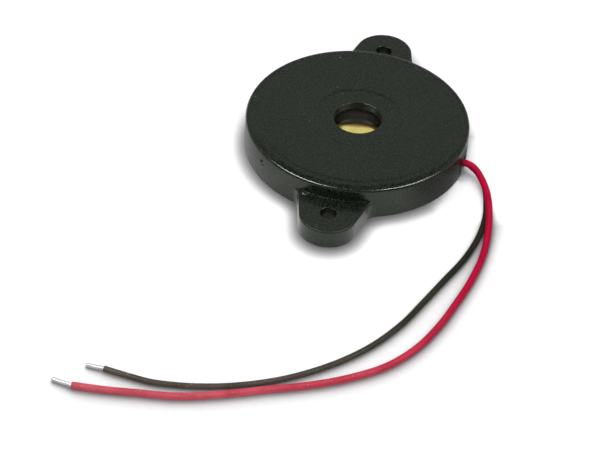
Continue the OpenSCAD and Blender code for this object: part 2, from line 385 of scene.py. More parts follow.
def use_group(tree, group, **values):
    """A group placed in a material with the material's own values."""
    return put(tree, "Group", {"node_tree": group}, **values).outputs


print("groups ready")

# %% [markdown]
# ### Grain
# A moulded skin has a fine even grain from the spark-eroded tool, and slow clouds where the
# melt flowed. Two sizes of noise give the tone, and the fine one alone gives the height.

# %% Grain group
grain, given, out = finish_group(
    "grain", {"Fine": 4000.0, "Cloud": 90.0}, ["Tone", "Cloud", "Height"])
place = place_of(grain)
speckle = noise(grain, place, Scale=given["Fine"], Detail=3.0, Roughness=0.65)
cloud = noise(grain, place, Scale=given["Cloud"], Detail=4.0, Roughness=0.6)
feed(grain, out, Tone=fit(grain, speckle, 0.3, 0.7), Cloud=fit(grain, cloud, 0.33, 0.67),
     Height=speckle)
print("group:", grain.name)

# %% [markdown]
# ### Dust
# Loose dust settles on faces that look up, as scattered specks. Voronoi cells give one speck
# each, their random colour decides which cells have one, and the normal keeps them on top.

# %% Dust group
dust, given, out = finish_group("dust", {"Scale": 900.0, "Share": 0.08, "Size": 0.16}, ["Mask"])
cells = put(dust, "TexVoronoi", Vector=place_of(dust), Scale=given["Scale"]).outputs
chosen = put(dust, "SeparateColor", Color=cells["Color"]).outputs
kept = calc(dust, "LESS_THAN", chosen[0], given["Share"])
size = times(dust, given["Size"], calc(dust, "ADD", chosen[1], 0.4))
outward = calc(dust, "DIVIDE", cells["Distance"], size)
near = calc(dust, "SUBTRACT", 1.0, outward, clamp=True)
speck = times(dust, times(dust, kept, near), fit(dust, upness(dust), 0.3, 0.8))
feed(dust, out, Mask=fit(dust, speck, 0.0, 0.5))
print("group:", dust.name)

# %% [markdown]
# ### Rubbed edges
# Corners lose their grain first, so they go smooth and a little pale, in patches. Each mesh
# carries a mark of where its edges are, and noise breaks that mark up.

# %% Rubbed-edge group
rubbed, given, out = finish_group(
    "rubbed_edges", {"Edge": 0.0, "Scale": 700.0, "Amount": 0.5}, ["Mask"])
patch = noise(rubbed, place_of(rubbed), Scale=given["Scale"], Detail=3.0)
level = calc(rubbed, "ADD", times(rubbed, given["Edge"], given["Amount"]), patch)
feed(rubbed, out, Mask=times(rubbed, fit(rubbed, level, 0.62, 0.95), given["Edge"]))
print("group:", rubbed.name)

# %% [markdown]
# ### Hairlines
# Handling leaves fine scratches in all directions. Noise that is stretched a long way one
# way makes a bundle of parallel lines; two bundles at an angle, thinned out by a slow noise,
# look like years in a drawer.

# %% Hairline group
hairlines, given, out = finish_group("hairlines", {"Scale": 2500.0, "Amount": 0.5}, ["Mask"])
place = place_of(hairlines)
bundles = []
for bearing in (0.5, 2.3):
    bundle = noise(hairlines, drawn_out(hairlines, place, bearing, 0.02),
                   Scale=given["Scale"], Detail=1.0)
    bundles.append(fit(hairlines, bundle, 0.66, 0.74))
where = noise(hairlines, place, Scale=150.0, Detail=2.0)
both = calc(hairlines, "MAXIMUM", *bundles)
thinned = times(hairlines, both, fit(hairlines, where, 0.45, 0.65))
feed(hairlines, out, Mask=times(hairlines, thinned, given["Amount"]))
print("group:", hairlines.name)

# %% [markdown]
# ## PVC
# The insulation is soft PVC with a faint spiral where the strands press through. Near the
# housing its colour is deep and clean; toward the free end, where hands held it, it is paler
# and dusty. A pattern in space can't know the free end, so the mesh carries the distance
# along the lead for the material to use. In the slot its colour is darkened as painted shade.

# %% PVC
# Centre and dark tone of the painted shade on the leads inside the slot.
SLOT_SHADE_FROM, SLOT_SHADE_TONE = (0, 0, 0.0025), (0.030, 0.012, 0.014)
HAND_DIRT, PLASTIC_IOR = (0.5, 0.45, 0.43), 1.45


def pvc(name, colour, deep, faded, worn, gloss):
    """Insulation between two tones near the housing and two more where hands held it, with
    strands showing through, dust and fine pores."""
    material, tree, shader = new_material(name)
    skin = use_group(tree, grain, Fine=3400.0, Cloud=160.0)
    specks = use_group(tree, dust, Scale=1900.0, Share=0.40, Size=0.26)["Mask"]
    handled = fit(tree, mark(tree, "along"), 0.35, 0.85)
    clean = blend(tree, skin["Cloud"], deep, colour)
    tone = blend(tree, handled, clean, blend(tree, skin["Cloud"], worn, faded))
    tone = layered(tree, tone, (skin["Tone"], 0.30, deep),
                   (specks, times(tree, handled, 0.42), HAND_DIRT))
    # Painted shade: where the lead lies inside the slot, its colour is darkened toward a near-black
    # red.
    in_slot = fit(tree, apart(tree, place_of(tree), SLOT_SHADE_FROM), 0.0212, 0.0222, 0.45, 0.0)
    rough = fit(tree, skin["Cloud"], 0, 1, gloss - 0.05, gloss + 0.07)
    feed(tree, shader, IOR=PLASTIC_IOR, Base_Color=blend(tree, in_slot, tone, SLOT_SHADE_TONE),
         Roughness=calc(tree, "ADD", rough, times(tree, specks, 0.3)),
         Specular_IOR_Level=fit(tree, handled, 0, 1, 0.05, 0.14))
    height = calc(tree, "ADD", mark(tree, "strands"), times(tree, skin["Height"], 0.5))
    add_relief(tree, shader, height, 0.35, 0.00003)
    return material


red_pvc = pvc("red_pvc", (0.53, 0.003, 0.042), (0.40, 0.002, 0.031), (0.63, 0.104, 0.140),
              (0.46, 0.055, 0.080), 0.36)
black_pvc = pvc("black_pvc", (0.028, 0.029, 0.020), (0.018, 0.019, 0.012),
                (0.110, 0.089, 0.073), (0.070, 0.056, 0.043), 0.40)
print("insulation:", red_pvc.name, black_pvc.name)

# %% [markdown]
# ## Tinned wire
# The stripped ends are strands fused by tin: lumpy, and a bit grey from flux. A plain metal
# shader would turn black between the lamps, so this one is only part metal. The silicone and
# the solder inside the housing are made of clouds in the same way, so all three share one
# function.

# %% Tinned wire
def clouded(name, fine, cloud, low, high, gloss, relief, metallic=0.0, gloss_from="Cloud"):
    """A finish between two tones in slow clouds, which also give the relief, and the gloss
    unless gloss_from names the fine grain. Also gives its tree, shader and tone."""
    material, tree, shader = new_material(name)
    skin = use_group(tree, grain, Fine=fine, Cloud=cloud)
    tone = blend(tree, skin["Cloud"], low, high)
    feed(tree, shader, Base_Color=tone, Metallic=metallic,
         Roughness=fit(tree, skin[gloss_from], 0, 1, *gloss))
    add_relief(tree, shader, skin["Cloud"], *relief)
    return material, tree, shader, tone


tinned = clouded("tinned_wire", 5000.0, 900.0, (0.52, 0.52, 0.51), (0.68, 0.68, 0.68),
                 (0.22, 0.45), (0.5, 0.00004), metallic=0.3, gloss_from="Tone")[0]
print("wire finish:", tinned.name)

# %% [markdown]
# ## Making the leads
# Each lead is one skin: a flat cut end, a small rounding, the long side and the far end with
# the wire coming out. Seven strands with a 9 mm lay are marked on the skin for the material.
# The tinned ends have the same seven strands, but there they shape the metal itself.

# %% Leads
def strand_wave(station, a, lay=9.0, strands=7):
    """cos(strands a - 2 pi station / lay), from 0 between strands to 1 on top of one."""
    return 0.5 + 0.5 * np.cos(strands * a - 2 * np.pi * station / lay)


def lead(name, node, line, diameter, material, sides=28):
    """The insulation of one lead, which stands for its CAD node and rides on the body."""
    length = run_of(line)[-1]
    stations, radii = sleeve_profile(length, diameter / 2, edge=0.09, inner=0.2, spacing=0.45)
    skin = swept(line, stations, radii, sides)
    a = np.linspace(0, 2 * np.pi, sides, endpoint=False)
    waves = strand_wave(stations[:, None], a)
    along = stations[:, None] / length + 0 * waves
    made = mesh_object(name, [skin], material, {"strands": waves, "along": along}, crease=50)
    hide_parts(node)
    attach(made, "root")
    return made


def lumps(s, a):
    """0.91 + 0.07 wave + 0.02 sin(2.1 s + a): the strands, and a slow swelling."""
    return 0.91 + 0.07 * strand_wave(s, a, lay=7.0) + 0.02 * np.sin(2.1 * s + a)


def bare_end(name, node, line, tip, diameter, sides=28):
    """Strands fused by tin, from inside the sleeve to the tip. The radius is lumps times
    half the diameter, and the last bit of the length rounds off as a blunt tip."""
    start, tip = line[-1], np.asarray(tip) + WALL
    core = start + np.linspace(0, 1, 30)[:, None] * (tip - start)
    blunt = np.linspace(0, np.pi / 2, 6)[1:]
    reach = 0.35 * diameter
    straight = np.linspace(0, np.linalg.norm(tip - start) - reach, 40)
    stations = np.concatenate([[0], straight, straight[-1] + reach * np.sin(blunt)])
    radii = diameter / 2 * np.concatenate([[0], np.ones(len(straight)), np.cos(blunt)])
    made = mesh_object(name, [swept(core, stations, radii, sides, lumps)], tinned, crease=60)
    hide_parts(node)
    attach(made, "root")
    return made


red_lead = lead("red_lead_skin", "red_lead", red_line, RED_D, red_pvc)
black_lead = lead("black_lead_skin", "black_lead", black_line, BLACK_D, black_pvc)
red_end = bare_end("red_bare_end", "red_wire_end", red_line, RED_TIP, WIRE_D)
black_end = bare_end("black_bare_end", "black_wire_end", black_line, BLACK_TIP, WIRE_D)

# %% [markdown]
# ### Where the leads leave the wall
# On a real table the leads move when they are touched. The model keeps them where they lie,
# and prints where each one comes out through the wall.

def leave(line):
    """Where a lead's line comes out through the wall, in metres."""
    k = int(np.argmax(np.hypot(line[:, 0], line[:, 1]) > BODY_R - 0.1))
    return tuple(line[k] * MM)


for piece, end, line, diameter in ((red_lead, red_end, red_line, RED_D),
                                   (black_lead, black_end, black_line, BLACK_D)):
    print(piece.name, "leaves at", [round(v / MM, 2) for v in leave(line)], "mm")

# %% [markdown]
# ## Table and light
# The object was photographed on a white sweep that is brighter than anything on it. The
# floor is a plain pale surface that takes shadow. Its own glow, which only the camera and
# reflections see, lifts the unshaded part to white without lighting the object. A soft lamp
# alone leaves too faint a shadow at the foot of the wall, so ambient occlusion deepens it,
# leaning a little toward the camera, where the photograph has more of it. What the wall
# mirrors of the floor is darker to the sides and under the leads, as the object shades it.

# %% Floor: who sees it, and how far out
FLOOR_GLOW, MIDDLE = 0.27, (0, 0, 0)
sweep, tree, shader = new_material("white_sweep")
feed(tree, shader, Roughness=0.9, Specular_IOR_Level=0.0, Emission_Color=(1, 1, 1))
ray_kind = put(tree, "LightPath").outputs
seen = calc(tree, "MAXIMUM", ray_kind["Is Camera Ray"], ray_kind["Is Glossy Ray"])
seen = calc(tree, "MAXIMUM", seen, ray_kind["Is Transmission Ray"])
spot = place_of(tree)
from_body = apart(tree, spot, MIDDLE)
print("floor glow:", FLOOR_GLOW)

# %% Floor: shade that the camera sees
LEAN = {"X": -0.12, "Y": 0.40, "Z": 0.90}
LEADS_OUT = (0.0245, -0.0040, 0)
lean = put(tree, "CombineXYZ", **LEAN).outputs[0]
reach = fit(tree, from_body, 0.026, 0.045, 0.0034, 0.0056)
sky = put(tree, "AmbientOcclusion", {"samples": 8}, Distance=reach, Normal=lean).outputs["AO"]
sky = times(tree, sky, fit(tree, apart(tree, spot, LEADS_OUT), 0.0030, 0.0130, 2.1, 1.0))
depth = fit(tree, from_body, 0.024, 0.045, 2.5, 5.4)
contact = calc(tree, "POWER", fit(tree, sky, 0.12, 0.92), depth)
print("shade leans by", LEAN)

# %% Floor: shade that the wall mirrors
UNDER_LEADS = (0.025, -0.011, 0)
across = parts_of(tree, spot)[0]
sides = times(tree, fit(tree, across, -0.0225, -0.0150, 0.45, 1.0),
              fit(tree, across, 0.0195, 0.0230, 1.0, 0.45))
leads = fit(tree, apart(tree, spot, UNDER_LEADS), 0.006, 0.013, 0.30, 1.0)
mirrored = times(tree, leads, sides)
print("darkest under the leads, at", UNDER_LEADS)

# %% Floor
FLOOR_HALF = 1500.0
SHADOW_NEAR, SHADOW_FAR, PAPER = (0.18, 0.17, 0.18), (0.38, 0.375, 0.38), (0.8, 0.8, 0.8)
shade = put(tree, "Mix", i0=ray_kind["Is Camera Ray"], i2=mirrored, i3=contact).outputs[0]
# Painted shadow: where the shade above is deep, the floor's colour goes toward a grey that is
# darker near the housing, and its glow dims with it.
shadow_tone = blend(tree, fit(tree, from_body, 0.028, 0.045), SHADOW_NEAR, SHADOW_FAR)
feed(tree, shader, Base_Color=blend(tree, shade, shadow_tone, PAPER),
     Emission_Strength=times(tree, times(tree, seen, shade), FLOOR_GLOW))
corners = FLOOR_HALF * np.array([(-1, -1, 0), (1, -1, 0), (1, 1, 0), (-1, 1, 0)])
floor = mesh_object("floor", [(corners, np.array([[0, 1, 2, 3]]))], sweep)

# %% [markdown]
# ### Room and lamps
# Behind the object the sweep rises into a darker room, and that is what the flat top
# mirrors; a paler band in it gives the brass its bright patch. One broad panel above and a
# weaker one in front light everything. The two highlights on the rim come from two strips that
# only show in the gloss: a lamp that also lit the floor would cast its own shadow there.

# %% World
SKY = [(0.0, 0.95), (0.12, 0.42), (0.30, 0.16), (0.54, 0.23),
       (0.61, 0.70), (0.66, 0.70), (0.70, 0.12), (1.0, 0.04)]
world = bpy.data.worlds.new("studio")
scene.world = world
world.use_nodes = True
tree = world.node_tree
aim = parts_of(tree, put(tree, "TexCoord").outputs["Generated"])
ramp = put(tree, "ValToRGB", i0=aim[2])
stops = ramp.color_ramp.elements
for k, (height, level) in enumerate(SKY):
    stop = stops[k] if k < 2 else stops.new(height)
    stop.position, stop.color = height, (level, level, level, 1)
behind = fit(tree, aim[1], -0.6, 0.1, 0.2, 1.0)
feed(tree, tree.nodes["Background"], Color=times(tree, ramp.outputs[0], behind), Strength=1.0)
scene.view_settings.view_transform = "Standard"
print("room:", len(stops), "steps of grey")

# %% Lamps
def lamp(name, azimuth, elevation, distance, width, height, power, mirrored, twist=0):
    """A soft panel that looks at the housing. Azimuth 0 is on the -Y side, as for the camera.
    A mirrored panel only shows in the gloss of the pieces, any other only lights them. twist
    turns it in its own plane, in degrees."""
    a, e = math.radians(azimuth), math.radians(elevation)
    away = Vector((math.sin(a) * math.cos(e), -math.cos(a) * math.cos(e), math.sin(e)))
    data = bpy.data.lights.new(name, "AREA")
    data.shape, data.size, data.size_y, data.energy = "RECTANGLE", width, height, power
    made = bpy.data.objects.new(name, data)
    made.rotation_mode = "QUATERNION"
    made.location = away * distance
    turn = Quaternion((0, 0, 1), math.radians(twist))
    made.rotation_quaternion = away.to_track_quat("Z", "Y") @ turn
    made.visible_glossy, made.visible_diffuse = mirrored, not mirrored
    scene.collection.objects.link(made)
    return made


lamp("top_panel", -168, 70, 0.9, 0.9, 0.9, 6.5, mirrored=False)
lamp("front_fill", 9, 45, 0.9, 0.8, 0.8, 5.6, mirrored=False)
lamp("right_strip", 76, 53, 0.9, 0.56, 0.18, 8.8, mirrored=True, twist=-30)
lamp("left_strip", -56, 54, 0.9, 0.52, 0.18, 10.0, mirrored=True, twist=30)

# %% [markdown]
# ## Moulded plastic
# The housing is a dark greenish-grey engineering plastic from a spark-eroded tool. It looks
# lighter than it is because its fine grain mirrors the surroundings. So the colour stays
# nearly black, and the roughness and the grain's height do the work. The sound hole's wall
# and the ears' edges, which the tool's pins and joints formed, are duller than the face.

# %% Plastic: colour
PIT, PEAK, MELT = (0.0002, 0.0020, 0.0003), (0.0164, 0.0212, 0.0150), (0.0060, 0.0088, 0.0054)
RUBBED, SCRATCHED, DUSTY = (0.026, 0.030, 0.026), (0.045, 0.050, 0.045), (0.16, 0.165, 0.15)
plastic, tree, shader = new_material("moulded_plastic")
skin = use_group(tree, grain, Fine=3600.0, Cloud=110.0)
specks = use_group(tree, dust, Scale=700.0, Share=0.07, Size=0.14)["Mask"]
edge = mark(tree, "edge")
worn = use_group(tree, rubbed, Edge=edge, Scale=600.0, Amount=0.30)["Mask"]
scratches = use_group(tree, hairlines, Scale=2200.0, Amount=0.3)["Mask"]
tone = blend(tree, fit(tree, skin["Tone"], 0.22, 0.78), PIT, PEAK)
feed(tree, shader, Base_Color=layered(
    tree, tone, (skin["Cloud"], 0.15, MELT), (worn, 0.4, RUBBED), (scratches, 0.35, SCRATCHED),
    (specks, 0.5, DUSTY)))
print("plastic with", len(tree.nodes), "nodes so far")

# %% Plastic: gloss
SLOT_AT, GREEN_GLINT = (0.0209, -0.0022, 0.0028), (0.91, 1.0, 0.84)
place = place_of(tree)
height = parts_of(tree, place)[2]
bore = times(tree, below(tree, off_axis(tree, place), 0.0049, 0.0051),
             below(tree, height, 0.0063, 0.0065))
ears = times(tree, below(tree, height, 0.0040, 0.0045), edge)
by_slot = below(tree, apart(tree, place, SLOT_AT), 0.0020, 0.0034)
matt = calc(tree, "MAXIMUM", calc(tree, "MAXIMUM", bore, ears), by_slot)
rough = fit(tree, skin["Tone"], 0, 1, 0.10, 0.36)
rough = calc(tree, "ADD", rough, fit(tree, skin["Cloud"], 0, 1, -0.03, 0.04))
rough = calc(tree, "SUBTRACT", rough, times(tree, worn, 0.08))
for mask, share in ((specks, 0.3), (matt, 0.22)):
    rough = calc(tree, "ADD", rough, times(tree, mask, share))
feed(tree, shader, Roughness=rough, Specular_IOR_Level=fit(tree, matt, 0.0, 1.0, 0.5, 0.26),
     IOR=PLASTIC_IOR, Specular_Tint=GREEN_GLINT)
print("duller in the sound hole, on the ears' edges and round", SLOT_AT)

# %% Plastic: relief
fine = use_group(tree, grain, Fine=9000.0, Cloud=700.0)
relief = calc(tree, "ADD", skin["Height"], times(tree, fine["Height"], 0.5))
add_relief(tree, shader, calc(tree, "SUBTRACT", relief, times(tree, scratches, 0.4)), 0.6, 0.00003)
print("finish:", plastic.name)

# %% [markdown]
# ## The housing's body
# One moulding: a round wall and front, a collar round the sound hole, a face a few
# hundredths of a millimetre higher between collar and margin, a rim that falls gently and
# then turns tightly, and inside it the seat and lip for the brass disc. Turned on a lathe,
# or moulded from a turned tool, such a body is one outline carried round an axis, so that is
# how it is made here. The lead slot is cut the same way: between its two sides every point
# of the side wall that lies below the slot's roof is lifted up to the roof.

# %% Housing sizes
BODY_H, FRONT_T = 6.6, 1.5
INNER_R, REBATE_R, BACK_T = 19.2, 19.8, 1.6
SOUND_R, COLLAR_R, FACE_R, DISH, SUNK, FALL, RIM = 4.5, 8.2, 18.4, 0.07, 0.045, 0.25, 0.63
SEAT_IN, LIP_IN, LIP_OUT, LIP_LOW, SEAT_Z = 16.2, 17.6, 18.4, 3.3, 3.9
CEILING = BODY_H - FRONT_T
EAR_T, EAR_Y, EAR_R, EAR_EDGE, EAR_HOLE_R = 3.7, 25.0, 5.4, 0.4, 1.5
EAR_TAPER, EAR_BLEND, BITE = 14.0, 3.0, 0.05
EXIT_AZ, SLOT_FROM, SLOT_TO, SLOT_H, SLOT_R = -5.0, -1.36, 1.30, 3.4, 0.9
GATE_AZ, GATE_Z, GATE_R, GATE_DEEP, NUB = 225.0, 4.1, 0.52, 0.34, 0.13
DIMPLE_AT, DIMPLE_R, DIMPLE_DEEP = (-5.4, -21.3), 0.5, 0.2
print("slot is %.2f mm wide" % (SLOT_TO - SLOT_FROM))


# %% Rounded outline
def rounded(outline, hold=0.05):
    """A closed outline with each corner (r, z, radius, steps) turned into an arc: with unit
    vectors u and v from the corner to its neighbours and 2h the angle between them, the arc
    starts radius / tan h away, round the centre corner + (u + v) radius / (|u + v| sin h).
    A further point on each side, hold beyond the arc, keeps the flats flat. Also gives the
    edge mark: 1 in the middle of an outward corner's arc."""
    table = np.asarray(outline, float)
    p = table[:, :2]
    to_last, to_next = unit_rows(np.roll(p, 1, 0) - p), unit_rows(np.roll(p, -1, 0) - p)
    pieces, marks = [], []
    for corner, u, v, (radius, steps) in zip(p, to_last, to_next, table[:, 2:]):
        half_angle = np.arccos(np.clip(u @ v, -1, 1)) / 2
        reach = radius / np.tan(half_angle)
        middle = corner + (u + v) / np.linalg.norm(u + v) * radius / np.sin(half_angle)
        from_middle = (corner + u * reach - middle) / radius
        to_middle = (corner + v * reach - middle) / radius
        s = np.linspace(0, 1, int(steps) + 1)[:, None]
        turn = np.pi - 2 * half_angle
        arc = (np.sin((1 - s) * turn) * from_middle + np.sin(s * turn) * to_middle) / np.sin(turn)
        arc = middle + radius * arc
        pieces += [corner + u * (reach + hold), *arc, corner + v * (reach + hold)]
        outward = np.sign(u[0] * v[1] - u[1] * v[0])
        marks += [0, *(np.sin(np.pi * s[:, 0]) * max(outward, 0)), 0]
    return np.array(pieces), np.array(marks)


def with_rows(points, marks, at, extra):
    """The outline with extra (r, z) rows put in before the one numbered at."""
    extra = np.asarray(extra, float)
    return np.insert(points, at, extra, 0), np.insert(marks, at, np.zeros(len(extra)))


outline, edge_marks = rounded([
    (SOUND_R, CEILING, 0.08, 2), (SOUND_R, BODY_H - DISH, 0.18, 6),
    (COLLAR_R - 0.2, BODY_H - DISH, 3.0, 4), (COLLAR_R + 0.5, BODY_H, 3.0, 4),
    (FACE_R - 0.2, BODY_H, 4.0, 4), (FACE_R + 0.5, BODY_H - SUNK, 4.0, 4),
    (BODY_R - 1.28, BODY_H - SUNK, 3.0, 6), (BODY_R, BODY_H - SUNK - FALL, RIM, 16),
    (BODY_R, 0, 0.06, 2), (REBATE_R, 0, 0.06, 2), (REBATE_R, BACK_T, 0.03, 1),
    (INNER_R, BACK_T, 0.03, 1), (INNER_R, CEILING, 0.1, 2),
    (LIP_OUT, CEILING, 0.1, 2), (LIP_OUT, LIP_LOW, 0.06, 2),
    (LIP_IN, LIP_LOW, 0.06, 2), (LIP_IN, SEAT_Z, 0.04, 1),
    (SEAT_IN, SEAT_Z, 0.06, 2), (SEAT_IN, CEILING, 0.1, 2)])
rim_foot = BODY_H - SUNK - FALL - RIM
below_rim = int(np.argmin(np.hypot(outline[:, 0] - BODY_R, outline[:, 1] - rim_foot))) + 1
# Further rows down the wall, close together where the gate mark is.
heights = np.concatenate([[5.2], np.arange(4.85, 3.4, -0.09), np.arange(3.3, 0.3, -0.3)])
wall_rows = np.stack([np.full(len(heights), BODY_R), heights], -1)
outline, edge_marks = with_rows(outline, edge_marks, below_rim, wall_rows)
print("outline rows:", len(outline), "top edge of the wall is row", below_rim)


# %% Lead slot and gate mark
SPAN_COLUMNS, SLOT_COLUMNS = (218, 9, 17, 9, 125), 23


def slot_roof(u):
    """Height of the slot's roof at u across it: flat, with a quarter circle at each side."""
    half_wide, middle = (SLOT_TO - SLOT_FROM) / 2, (SLOT_TO + SLOT_FROM) / 2
    into = np.clip(np.abs(u - middle) - (half_wide - SLOT_R), 0, SLOT_R)
    return SLOT_H - SLOT_R + np.sqrt(SLOT_R**2 - into**2)


def gate_mark(bearing, z):
    """How deep the wall is sunk round the gate, less the torn nub in the middle, and the
    edge mark of its rim."""
    sideways = BODY_R * np.radians((bearing - GATE_AZ + 180) % 360 - 180)
    off, off_nub = (np.hypot(sideways - x, z - GATE_Z + y) for x, y in ((0, 0), (0.04, 0.03)))
    sunk = GATE_DEEP * (1 - smooth_step(off, GATE_R - 0.14, GATE_R + 0.05))
    sunk = sunk - NUB * (1 - smooth_step(off_nub, 0.05, 0.26))
    return np.where(off < 1, sunk, 0), 0.7 * ((off > GATE_R - 0.12) & (off < GATE_R + 0.1))


def body_columns():
    """Bearings round the wall in degrees, from the slot's one side all the way to its other,
    and then places across the slot. They are close together there and at the gate mark."""
    from_side, to_side = EXIT_AZ + np.degrees(np.arcsin([SLOT_FROM / BODY_R, SLOT_TO / BODY_R]))
    gate = [GATE_AZ + off for off in (-7, -1.8, 1.8, 7)]
    stops = [to_side, *gate, from_side + 360]
    spans = [np.linspace(a, b, n)[:-1] for a, b, n in zip(stops, stops[1:], SPAN_COLUMNS)]
    return np.concatenate([*spans, stops[-1:]]), np.linspace(SLOT_FROM, SLOT_TO, SLOT_COLUMNS)


print("slot roof at its middle: %.1f mm" % slot_roof(0))


# %% Turned body
CORE_R, PARALLEL_TO, RADIAL_FROM = 17.0, 2.0, 5.0


def turned_body():
    """Each outline point (r, z) goes to (r cos b, r sin b, z) for every bearing b. Near the
    slot b follows asin(u / r), so that the slot's sides are parallel and not radial."""
    away, u = body_columns()
    bearing = np.concatenate([away, EXIT_AZ + np.degrees(np.arcsin(u / BODY_R))])
    in_slot = np.arange(len(bearing)) >= len(away)
    r, z = (outline[:, i:i + 1] * np.ones(len(bearing)) for i in (0, 1))
    from_exit = np.radians(bearing - EXIT_AZ)
    across = BODY_R * np.sin(from_exit)
    pull = 1 - smooth_step(np.abs(across), PARALLEL_TO, RADIAL_FROM)
    pull = pull * (np.cos(from_exit) > 0)
    parallel = np.arcsin(np.clip(across / np.clip(r, CORE_R, None), -1, 1))
    b = np.radians(bearing) + pull * (parallel - np.arcsin(across / BODY_R))
    roof = np.where(in_slot, slot_roof(across), 0)
    z = np.where((r > INNER_R - 0.3) & (z < roof), roof, z)
    deep, gate_rim = gate_mark(bearing, z)
    r = r - np.where(r > BODY_R - 0.01, deep, 0)
    points = np.stack([r * np.cos(b), r * np.sin(b), z], -1)
    faces = grid_faces(*r.shape, wrap_rows=True, wrap_columns=True)
    return (points.reshape(-1, 3), faces), np.maximum(edge_marks[:, None], gate_rim).ravel()


body_part, body_edges = turned_body()
print("body points:", len(body_part[0]))

# %% [markdown]
# ## The ears
# Each ear is a flat lobe round a fixing hole. Its sides run straight to the wall and turn
# into it with a hollow 3 mm blend, and its top edge is rounded all the way round. The grid
# runs round the outline one way, and the other way from the hole's foot out under the ear,
# up its side, over the rounded edge, across the top and down the hole.

# %% Ear outline
def arc_points(middle, radius, start, end, steps):
    """Points on a circle from the bearing start to end, in degrees."""
    a = np.radians(np.linspace(start, end, steps))
    return np.asarray(middle) + radius * np.stack([np.cos(a), np.sin(a)], -1)


def ear_outline(inset, fineness):
    """The ear on the +Y side, drawn in by inset: an arc inside the wall, the hollow blend,
    the straight flank and the round lobe, then the same mirrored."""
    far = BODY_R + EAR_BLEND - BITE
    side_reach = EAR_Y * math.sin(math.radians(EAR_TAPER)) + EAR_R
    blend_az = EAR_TAPER + math.degrees(math.acos((side_reach + EAR_BLEND) / far))
    middle = far * np.array([math.cos(math.radians(blend_az)), math.sin(math.radians(blend_az))])
    hollow = arc_points(middle, EAR_BLEND + inset, blend_az + 180, EAR_TAPER + 180, 10 * fineness)
    lobe = arc_points((0, EAR_Y), EAR_R - inset, EAR_TAPER, 180 - EAR_TAPER, 30 * fineness)
    t = np.linspace(0, 1, 7 * fineness)[1:-1, None]
    flank = hollow[-1] + t * (lobe[0] - hollow[-1])
    side = np.concatenate([hollow, flank])
    root = arc_points((0, 0), BODY_R - 0.6, 180 - blend_az, blend_az, 22 * fineness)
    return np.concatenate([root, side, lobe, (side * (-1, 1))[::-1]])


print("ear outline points:", len(ear_outline(0, 1)))


# %% Ears
EDGE_STEPS, LIFT = 8, 0.08


def corner_turn(radius, steps):
    """Pairs (radius (1 - cos a), radius (1 - sin a)) for a from 0 to 90 degrees."""
    a = np.linspace(0, np.pi / 2, steps)
    return list(zip(radius * (1 - np.cos(a)), radius * (1 - np.sin(a))))


def ear_part(turn, fineness, rows_across):
    """A closed ring of rows round the ear's section; turn is +1 for the +Y ear, -1 for the
    other. The top row a fraction t across is outline + t (hole circle - outline). Inside the
    wall the underside rises by LIFT, so that it doesn't share a plane with the body's foot."""
    soft, lip = 0.1, 0.12
    outer = [(y, x) for x, y in corner_turn(soft, 4)]
    outer += [(0, z) for z in np.linspace(soft + 0.2, EAR_T - EAR_EDGE - 0.05, 4)]
    edge_rows = slice(len(outer), len(outer) + EDGE_STEPS)
    outer += [(x, EAR_T - y) for x, y in corner_turn(EAR_EDGE, EDGE_STEPS)]
    outer += [(EAR_EDGE + 0.06, EAR_T)]
    rows = [(ear_outline(inset, fineness), z) for inset, z in outer]
    rim = rows[-1][0]
    from_hole = unit_rows(rim - (0, EAR_Y))

    def circle(wider):
        """The hole's edge, so much wider, with its points facing the ear's outline."""
        return np.array([0, EAR_Y]) + (EAR_HOLE_R + wider) * from_hole

    mouth = circle(lip + 0.05)
    rows += [(rim + t * (mouth - rim), EAR_T) for t in np.linspace(0, 1, rows_across)[1:]]
    rows += [(circle(y), EAR_T - x) for x, y in corner_turn(lip, 4)]
    rows += [(circle(0), z) for z in (EAR_T - lip - 0.1, 2.4, 1.2, lip)]
    rows += [(circle(x), y) for x, y in corner_turn(lip, 4)[1:]]
    rows += [(mouth + t * (rows[0][0] - mouth), 0.0) for t in (0, 0.25, 0.5, 0.75)]
    flat = np.stack([xy for xy, _ in rows])
    z = np.array([height for _, height in rows])[:, None] * np.ones(flat.shape[1])
    inside = 1 - smooth_step(np.hypot(flat[..., 0], flat[..., 1]), BODY_R - 0.25, BODY_R + 0.02)
    z = np.where(z < 0.2, z + LIFT * inside, z)
    flat = flat * turn
    off = np.hypot(flat[..., 0] - DIMPLE_AT[0], flat[..., 1] - DIMPLE_AT[1])
    sunk = DIMPLE_DEEP * (1 - smooth_step(off, DIMPLE_R - 0.1, DIMPLE_R + 0.08))
    z = z - np.where(z > EAR_T - 0.01, sunk, 0)
    marks = np.zeros(z.shape)
    marks[edge_rows] = np.sin(np.linspace(0, np.pi, EDGE_STEPS))[:, None]
    dimple_rim = (off > DIMPLE_R - 0.08) & (off < DIMPLE_R + 0.1) & (z > EAR_T - 0.15)
    marks = np.maximum(marks, 0.6 * dimple_rim)
    points = np.concatenate([flat, z[..., None]], -1)
    faces = grid_faces(*z.shape, wrap_rows=True, wrap_columns=True)
    return (points.reshape(-1, 3), faces), marks.ravel()


front_ear, front_edges = ear_part(-1, fineness=3, rows_across=46)
rear_ear, rear_edges = ear_part(1, fineness=2, rows_across=12)
print("ear points:", len(front_ear[0]), len(rear_ear[0]))

# %% [markdown]
# ### The fillet between ear and wall
# A mould has no knife-sharp inside corner, so a small hollow fillet runs along the foot of
# the wall on top of each ear. It catches a thin line of light in the photograph.

# %% Foot fillet
FILLET_STEPS, BURIED = 60, 0.1


